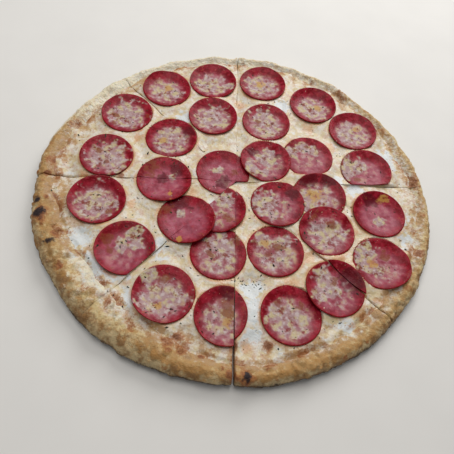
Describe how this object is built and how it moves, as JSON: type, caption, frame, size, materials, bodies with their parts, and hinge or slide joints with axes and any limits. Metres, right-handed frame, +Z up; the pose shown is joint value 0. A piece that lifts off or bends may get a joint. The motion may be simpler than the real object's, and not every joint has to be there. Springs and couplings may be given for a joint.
{
  "type": "pepperoni pizza",
  "caption": "Round pepperoni pizza with a raised bread rim, cut into slices that lie together, its melted cheese covered with cupped pepperoni.",
  "frame": {"origin": "middle of the flat underside of the crust", "axes": "+Z up through the pizza, -Y toward the viewer of the picture, +X to that viewer's right"},
  "size_m": [0.3602, 0.3522, 0.02],
  "materials": {
    "crust": "baked bread, golden tan on top with a pale floury lower edge",
    "sauce": "moist tomato sauce, red-brown",
    "cheese": "melted cheese, cream with white patches, browned toward the rim",
    "pepperoni": "cured meat, rose red with a darker oily edge"
  },
  "bodies": {
    "root": {"crust_a": "crust", "crust_b": "crust", "crust_c": "crust", "crust_d": "crust", "crust_e": "crust", "crust_f": "crust", "crust_g": "crust", "sauce_a": "sauce", "sauce_b": "sauce", "sauce_c": "sauce", "sauce_d": "sauce", "sauce_e": "sauce", "sauce_f": "sauce", "sauce_g": "sauce", "cheese_a": "cheese", "cheese_b": "cheese", "cheese_c": "cheese", "cheese_d": "cheese", "cheese_e": "cheese", "cheese_f": "cheese", "cheese_g": "cheese", "pepperoni_01": "pepperoni", "pepperoni_02": "pepperoni", "pepperoni_03": "pepperoni", "pepperoni_04": "pepperoni", "pepperoni_05": "pepperoni", "pepperoni_06": "pepperoni", "pepperoni_07": "pepperoni", "pepperoni_08": "pepperoni", "pepperoni_09": "pepperoni", "pepperoni_10_b": "pepperoni", "pepperoni_10_c": "pepperoni", "pepperoni_11": "pepperoni", "pepperoni_12": "pepperoni", "pepperoni_13": "pepperoni", "pepperoni_14": "pepperoni", "pepperoni_15_c": "pepperoni", "pepperoni_15_d": "pepperoni", "pepperoni_16_a": "pepperoni", "pepperoni_16_bc": "pepperoni", "pepperoni_16_d": "pepperoni", "pepperoni_17_e": "pepperoni", "pepperoni_17_f": "pepperoni", "pepperoni_18": "pepperoni", "pepperoni_19": "pepperoni", "pepperoni_20": "pepperoni", "pepperoni_21": "pepperoni", "pepperoni_22_d": "pepperoni", "pepperoni_22_e": "pepperoni", "pepperoni_23_e": "pepperoni", "pepperoni_23_f": "pepperoni", "pepperoni_24": "pepperoni", "pepperoni_25": "pepperoni", "pepperoni_26": "pepperoni", "pepperoni_27": "pepperoni", "pepperoni_28_e": "pepperoni", "pepperoni_28_f": "pepperoni", "pepperoni_29": "pepperoni", "pepperoni_30_f": "pepperoni", "pepperoni_30_g": "pepperoni"}
  },
  "joints": []
}
